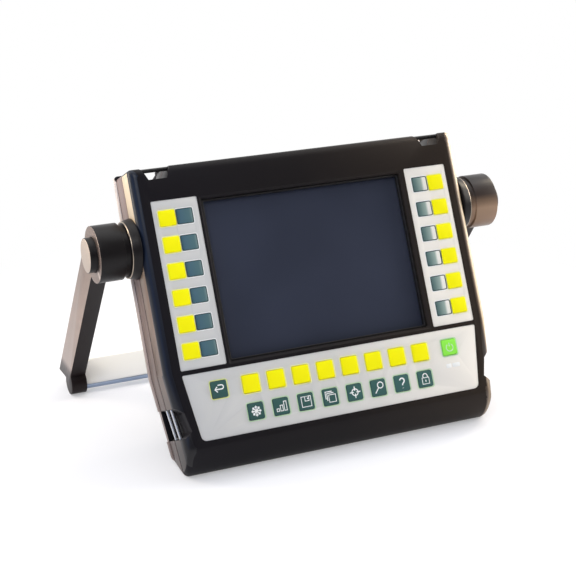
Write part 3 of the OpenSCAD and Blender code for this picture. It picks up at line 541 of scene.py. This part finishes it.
def in_slot(at, n):
    """True on the walls inside the strap slots."""
    if at.z > 0:
        return TOP_SLOT_FLOOR < at.z < TOP_SLOT_OPEN and TOP_SLOT_NEAR < abs(at.x) < TOP_SLOT_FAR
    outer = CASE_SIDE - LOW_SLOT_DEPTH + (at.z - LOW_SLOT_FLOOR) * LOW_SLOT_TAPER
    return LOW_SLOT_FLOOR < at.z < LOW_SLOT_OPEN and abs(at.x) < outer


def on_hub(at, n):
    """True on the round hub at the pivot, which is drawn with its arm."""
    return math.hypot(at.y - HUB_Y, at.z - HUB_V) < HUB_ZONE


bezel = softened("front_bezel", 0.3, "case",
                 [case_black, side_cream, edge_navy, edge_gold, edge_gold_low])
# The bezel's sides carry painted light: a navy reflection on the left fillet, a cream highlight on the
# left wall, and a gold highlight on the right fillet that is weaker below the lower slot.
painted(bezel, lambda at, n: at.x < -SIDE_ZONE and n.x < -0.12 and at.y < FILLET_END, 2)
painted(bezel, lambda at, n: at.x < -SIDE_ZONE and n.x < -0.93 and at.y > FILLET_END, 1)
painted(bezel, lambda at, n: at.x > SIDE_ZONE and n.x > 0.05, 3)
painted(bezel, lambda at, n: at.x > SIDE_ZONE and n.x > 0.05 and at.z < LOW_SLOT_OPEN, 4)
painted(bezel, in_slot, 0)
middle = softened("middle_frame", 0.25, "case", [case_brown, trim_black])
# Inside the strap slots the frame stays plain black, without the painted sheen.
painted(middle, in_slot, 1)
rear = softened("rear_shell", 0.4, "case", [case_black, rim_pale])
# The rim on the rear shell's sides gets the painted pale highlight.
painted(rear, lambda at, n: at.y < RIM_END and abs(n.y) < 0.8 and abs(at.x) > RIM_ZONE, 1)
painted(rear, in_slot, 0)
softened("case_seals", 0.0, "case", seal_brown)
softened("display_trim", 0.2, "case", trim_black)
softened("display_glass", 0.2, "case", screen)
for name in ("key_panel_left", "key_panel_right", "key_panel_bottom"):
    panel = softened(name, 0.3, "case", [panel_grey, panel_edge])
    painted(panel, lambda at, n: at.y < PANEL_RIM and n.y > -0.97, 1)
windows = softened("label_windows", 0.12, "case", [label_left, label_right])
# The right-hand windows take the painted light of the right labels.
painted(windows, lambda at, n: at.x > 0, 1)
softened("battery_cover", 0.4, "case", case_black)
softened("case_screws", 0.15, "case", steel)
bars = softened("strap_bars", 0.0, "case", [steel, trim_black])
painted(bars, lambda at, n: at.z > 0, 1)
softened("probe_sockets", 0.25, "case", socket_metal)
softened("port_sockets", 0.2, "case", port_black)
softened("rear_feet", 0.8, "case", rubber, rounds=3)
softened("pivot_bases", 0.6, "case", hub_black, rounds=3)
# A thin bright ring on each pivot base stands for the glint on its edge: a painted highlight.
for hand, side in (("left", -1), ("right", 1)):
    ring = ring_piece("base_ring_" + hand, side * BASE_RING_X, BASE_RING_R, BASE_RING_THICK)
    settle(baked(ring), "case", edge_bright)
# The right hub carries the painted warm highlight; the left one stays plain black.
for hand, hub in (("left", hub_black), ("right", hub_warm)):
    arm = softened("handle_arm_" + hand, 0.7, "handle",
                   [arm_bronze, hub, hub_end, arm_dark], rounds=3)
    # The front-facing faces of each arm get the painted shade.
    painted(arm, lambda at, n: n.y < -0.2 and abs(n.x) < 0.75, 3)
    painted(arm, on_hub, 1)
    painted(arm, lambda at, n: on_hub(at, n) and abs(at.x) > HUB_FACE and abs(n.x) > 0.9, 2)
grip = softened("handle_bar", 0.4, "handle", [bar_satin, bar_edge])
# The bar's front edge gets the painted reflection.
painted(grip, lambda at, n: n.dot(BAR_FRONT) > 0.6, 1)

for name, finish in (
    ("display_module", steel), ("keypad_boards", board_green), ("main_board", board_green),
    ("pulser_board", board_blue), ("board_spacers", brass), ("battery_pack", battery_wrap),
    ("pivot_shafts", steel), ("release_springs", steel),
):
    dressed(nodes[name], finish)

for hand in ("left", "right"):
    name = "release_button_" + hand
    button = softened(name, 0.6, name, [hub_black, button_face], rounds=3)
    painted(button, lambda at, n: abs(n.x) > 0.8 and abs(at.x) > BUTTON_FACE, 1)


# Keys with their printed borders, and dark rims of painted shade inside the label windows

def low_u(i):
    """The middle of a key in the lower rows, counted from one at the left."""
    return LOW_PITCH * (i - (LOW_COLS + 1) / 2)


def low_border(name, size, u, v):
    """The printed border round one square key of the bottom panel."""
    wide = size + LOW_BORDER_GROW
    return frame_piece(name, wide, wide, LOW_BORDER_R, LOW_BORDER_W, BORDER_TOP, BORDER_FLOOR, u, v)


for i in range(1, 7):
    for hand in ("left", "right"):
        name = f"key_{hand}_{i}"
        softened(name, 0.45, name, key_yellow, rounds=3)
for i in range(1, LOW_COLS + 1):
    softened(f"key_yellow_{i}", 0.45, f"key_yellow_{i}", key_yellow, rounds=3)
SYMBOLS = ("freeze", "signal", "save", "copy", "gate", "zoom", "help", "lock")
for name in SYMBOLS + ("escape",):
    softened("key_" + name, 0.45, "key_" + name, key_teal, rounds=3)
softened("key_power", 0.45, "key_power", key_green, rounds=3)

# Each label window also gets a dark rim of painted shade just inside it.
for hand, side in (("left", -1), ("right", 1)):
    for label, mid, wide, high, finish in (
        ("key_borders_", SIDE_KEY_MID, SIDE_KEY_W + 1.6, SIDE_KEY_H + 1.6, print_yellow),
        ("label_borders_", LABEL_MID, LABEL_W + 1.2, SIDE_KEY_H + 1.2, print_white),
        ("label_rims_", LABEL_MID, LABEL_W + 0.1, SIDE_KEY_H + 0.1, label_rim),
    ):
        edge = LABEL_RIM_TOP if finish is label_rim else BORDER_TOP
        ring = frame_piece("ring", wide, high, SIDE_BORDER_R, SIDE_BORDER_W, edge, BORDER_FLOOR,
                           side * mid, SIDE_FIRST_V)
        row = line_repeat(label + hand, ring, 6, (0, 0, -SIDE_PITCH), finish)
        settle(row, "case", finish)

for label, size, v, finish in (
    ("yellow_borders", YELLOW_KEY, YELLOW_V, print_yellow),
    ("symbol_borders", SYMBOL_KEY, SYMBOL_V, print_green),
):
    ring = low_border("ring", size, low_u(1), v)
    row = line_repeat(label, ring, LOW_COLS, (LOW_PITCH, 0, 0), finish)
    settle(row, "case", finish)

for label, u, finish in (
    ("escape_border", ESCAPE_U, print_lime), ("power_border", POWER_U, print_green),
):
    ring = baked(low_border(label, SYMBOL_KEY, u, YELLOW_V))
    settle(ring, "case", finish)


# Pictograms, drawn as raised round strokes on their keys

def arc(u, v, r, start, stop, steps):
    """Points along an arc about (u, v), between two angles in degrees."""
    return [
        (u + r * math.cos(math.radians(start + (stop - start) * k / steps)),
         v + r * math.sin(math.radians(start + (stop - start) * k / steps)))
        for k in range(steps + 1)
    ]


def box_path(u0, v0, u1, v1):
    """The closed path of a box between two corners."""
    return [(u0, v0), (u1, v0), (u1, v1), (u0, v1), (u0, v0)]


def snowflake():
    paths = []
    for k in range(4):
        a = math.radians(45 * k)
        paths.append([(-3.9 * math.cos(a), -3.9 * math.sin(a)), (3.9 * math.cos(a), 3.9 * math.sin(a))])
    for k in range(8):
        a = math.radians(45 * k)
        tip = (2.3 * math.cos(a), 2.3 * math.sin(a))
        for turn in (-40, 40):
            b = a + math.radians(turn)
            paths.append([tip, (tip[0] + 1.3 * math.cos(b), tip[1] + 1.3 * math.sin(b))])
    return paths


def signal_bars():
    return [box_path(-4, -3.4, -2.2, -1.4), box_path(-1.1, -3.4, 0.9, 0.8), box_path(2, -3.4, 4, 3.4)]


def diskette():
    return [box_path(-3.8, -3.8, 3.8, 3.8), box_path(-0.9, 0.4, 2.3, 3.8),
            [(1.3, 1.6), (1.3, 2.8)]]


def pages():
    return [box_path(-1.6, -3.9, 3.9, 1.6), [(-2.9, -2.6), (-2.9, 2.9), (2.6, 2.9)],
            [(-4.1, -1.3), (-4.1, 4.1), (1.3, 4.1)]]


def crosshair():
    paths = [arc(0, 0, 2.5, 0, 360, 28)]
    for du, dv in ((1, 0), (-1, 0), (0, 1), (0, -1)):
        paths.append([(1.1 * du, 1.1 * dv), (4.4 * du, 4.4 * dv)])
    return paths


def magnifier():
    return [arc(1.5, 1.8, 2.3, 0, 360, 28), [(-0.1, 0.1), (-3.4, -4)]]


def question():
    return [arc(0, 1.9, 1.9, 165, -60, 18) + [(0, -0.6), (0, -1.6)], [(0, -3.5), (0, -3.8)]]


def padlock():
    body = box_path(-2.9, -3.9, 2.9, 0.9)
    shackle = [(-1.9, 0.9)] + arc(0, 2.1, 1.9, 180, 0, 14) + [(1.9, 0.9)]
    return [body, shackle, [(0, -0.8), (0, -2.4)]]


def return_arrow():
    return [[(-3.6, 0), (1.8, 0)] + arc(1.8, 1.5, 1.5, -90, 90, 10) + [(-1, 3)],
            [(-1.6, 2), (-3.6, 0), (-1.6, -2)]]


def power_sign():
    return [arc(0, -0.3, 2.9, 125, 415, 26), [(0, 0.6), (0, 3.3)]]


def pictogram(name, u, v, paths, width, finish):
    """A drawing in strokes of one width on the key that its name ends with."""
    curve = bpy.data.curves.new(name, "CURVE")
    curve.dimensions = "3D"
    curve.bevel_depth = width / 2
    curve.bevel_resolution = 2
    curve.use_fill_caps = True
    for path in paths:
        closed = len(path) > 2 and math.dist(path[0], path[-1]) < 1e-6
        points = path[:-1] if closed else path
        spline = curve.splines.new("POLY")
        spline.points.add(len(points) - 1)
        spline.use_cyclic_u = closed
        for point, (du, dv) in zip(spline.points, points):
            point.co = (u + du, KEY_TOP, v + dv, 1)
    draft = linked(name + "_draft", curve)
    mesh = evaluated_mesh(draft)
    bpy.data.objects.remove(draft)
    # The strokes are flattened to a thin relief that stands on the key
    for vertex in mesh.vertices:
        vertex.co.y = KEY_TOP + (vertex.co.y - KEY_TOP) * 0.35
    mesh.name = name
    mesh.shade_smooth()
    settle(linked(name, mesh), "key_" + name.split("-")[1], finish)


drawings = {
    "freeze": snowflake(), "signal": signal_bars(), "save": diskette(), "copy": pages(),
    "gate": crosshair(), "zoom": magnifier(), "help": question(), "lock": padlock(),
}
for i, name in enumerate(SYMBOLS, 1):
    pictogram("sign-" + name, low_u(i), SYMBOL_V, drawings[name],
              1.1 if name == "help" else 0.8, print_white)
pictogram("sign-escape", ESCAPE_U, YELLOW_V, return_arrow(), 0.9, print_white)
pictogram("sign-power", POWER_U, YELLOW_V, power_sign(), 0.8, print_green)

# Two plain marks below the power key
for k, (u, w) in enumerate(((92.6, 4.4), (99.0, 6.4))):
    outline = rounded(w, MARK_H, MARK_R, u, MARK_V, 4)
    mark = prism_piece(f"indicator_{k}", outline, BORDER_TOP, BORDER_FLOOR)
    settle(baked(bevelled(mark, 0.05)), "case", print_white)


# Stage

def new_math(tree, operation, first, second):
    """A math node; each side is a number or the socket that feeds it."""
    node = tree.nodes.new("ShaderNodeMath")
    node.operation = operation
    for socket, value in zip(node.inputs, (first, second)):
        if isinstance(value, bpy.types.NodeSocket):
            tree.links.new(value, socket)
        else:
            socket.default_value = value
    return node.outputs["Value"]


def floor_finish(near_share, near, far):
    """A pale floor: plain and shadowed round the object, and even white farther out and in gloss."""
    material = bpy.data.materials.new("floor_white")
    material.use_nodes = True
    tree = material.node_tree
    tree.nodes.clear()
    out = tree.nodes.new("ShaderNodeOutputMaterial")
    diffuse = tree.nodes.new("ShaderNodeBsdfDiffuse")
    glow = tree.nodes.new("ShaderNodeEmission")
    path = tree.nodes.new("ShaderNodeLightPath")
    coords = tree.nodes.new("ShaderNodeTexCoord")
    middle = tree.nodes.new("ShaderNodeMapping")
    length = tree.nodes.new("ShaderNodeVectorMath")
    reach = tree.nodes.new("ShaderNodeMapRange")
    mix = tree.nodes.new("ShaderNodeMixShader")
    diffuse.inputs["Color"].default_value = (0.86, 0.87, 0.93, 1)
    glow.inputs["Color"].default_value = (1, 1, 1, 1)
    glow.inputs["Strength"].default_value = 1
    middle.inputs["Location"].default_value = (0, -0.08, 0)
    length.operation = "LENGTH"
    reach.interpolation_type = "SMOOTHSTEP"
    reach.inputs["From Min"].default_value = near
    reach.inputs["From Max"].default_value = far
    reach.inputs["To Min"].default_value = near_share
    tree.links.new(coords.outputs["Object"], middle.inputs["Vector"])
    tree.links.new(middle.outputs["Vector"], length.inputs[0])
    tree.links.new(length.outputs["Value"], reach.inputs["Value"])
    seen = new_math(tree, "MAXIMUM", path.outputs["Is Camera Ray"], path.outputs["Is Glossy Ray"])
    share = new_math(tree, "MULTIPLY", seen, reach.outputs["Result"])
    tree.links.new(share, mix.inputs["Fac"])
    tree.links.new(diffuse.outputs["BSDF"], mix.inputs[1])
    tree.links.new(glow.outputs["Emission"], mix.inputs[2])
    tree.links.new(mix.outputs["Shader"], out.inputs["Surface"])
    return material


def white_room(front, back):
    """A room that is dim in front of the object and bright behind it, and white to the camera."""
    world = bpy.data.worlds.new("room")
    world.use_nodes = True
    tree = world.node_tree
    tree.nodes.clear()
    out = tree.nodes.new("ShaderNodeOutputWorld")
    light = tree.nodes.new("ShaderNodeBackground")
    path = tree.nodes.new("ShaderNodeLightPath")
    coords = tree.nodes.new("ShaderNodeTexCoord")
    split = tree.nodes.new("ShaderNodeSeparateXYZ")
    fade = tree.nodes.new("ShaderNodeMapRange")
    light.inputs["Color"].default_value = (1, 1, 1, 1)
    fade.interpolation_type = "SMOOTHSTEP"
    fade.inputs["From Min"].default_value = -0.35
    fade.inputs["From Max"].default_value = 0.25
    fade.inputs["To Min"].default_value = front
    fade.inputs["To Max"].default_value = back
    tree.links.new(coords.outputs["Generated"], split.inputs["Vector"])
    tree.links.new(split.outputs["Y"], fade.inputs["Value"])
    strength = new_math(tree, "MAXIMUM", path.outputs["Is Camera Ray"], fade.outputs["Result"])
    tree.links.new(strength, light.inputs["Strength"])
    tree.links.new(light.outputs["Background"], out.inputs["Surface"])
    bpy.context.scene.world = world


def soft_lamp(name, place, size, power, colour):
    """An area lamp that is turned to the middle of the object."""
    lamp = bpy.data.lights.new(name, "AREA")
    lamp.shape = "RECTANGLE"
    lamp.size, lamp.size_y = size
    lamp.energy = power
    lamp.color = colour
    holder = linked(name, lamp)
    holder.location = place
    aim = Vector(LAMP_TARGET) - Vector(place)
    holder.rotation_euler = aim.to_track_quat("-Z", "Y").to_euler()


def studio():
    """The floor, the room, the lamps and the camera."""
    bm = bmesh.new()
    corners = ((-1, -1), (1, -1), (1, 1), (-1, 1))
    bm.faces.new([bm.verts.new((sx * FLOOR_REACH, sy * FLOOR_REACH, 0)) for sx, sy in corners])
    mesh = bpy.data.meshes.new("floor")
    bm.to_mesh(mesh)
    bm.free()
    floor = linked("floor", mesh)
    dressed(floor, floor_finish(near_share=0.35, near=0.16, far=0.42))

    white_room(front=0.11, back=1.0)
    for lamp in (
        ("top_softbox", (0.1, 0.35, 1.9), (2.4, 1.8), 16, (1, 1, 1)),
        ("key_softbox", (1.3, -0.12, 0.6), (0.7, 0.7), 10, (1, 0.95, 0.88)),
        ("fill_softbox", (-0.75, -0.75, 1.3), (0.8, 0.8), 8, (0.97, 0.98, 1)),
        ("left_strip", (-0.95, 0.62, 0.45), (0.22, 0.9), 7, (1, 0.88, 0.7)),
        ("right_strip", (0.85, 0.35, 0.4), (0.2, 0.85), 6, (1, 0.86, 0.66)),
        ("blue_card", (-1.1, -0.35, 0.35), (0.5, 0.6), 1.2, (0.3, 0.5, 1)),
    ):
        soft_lamp(*lamp)

    camera = bpy.data.cameras.new("camera")
    camera.lens = CAMERA_LENS
    camera.sensor_width = 36
    camera.clip_start = 0.05
    camera.clip_end = 30
    holder = linked("camera", camera)
    up = CAMERA_RIGHT.cross(CAMERA_SIGHT)
    turn = Matrix((CAMERA_RIGHT, up, -CAMERA_SIGHT)).transposed().to_4x4()
    holder.matrix_world = Matrix.Translation(CAMERA_PLACE) @ turn
    bpy.context.scene.camera = holder
    bpy.context.scene.view_settings.view_transform = "Standard"


studio()
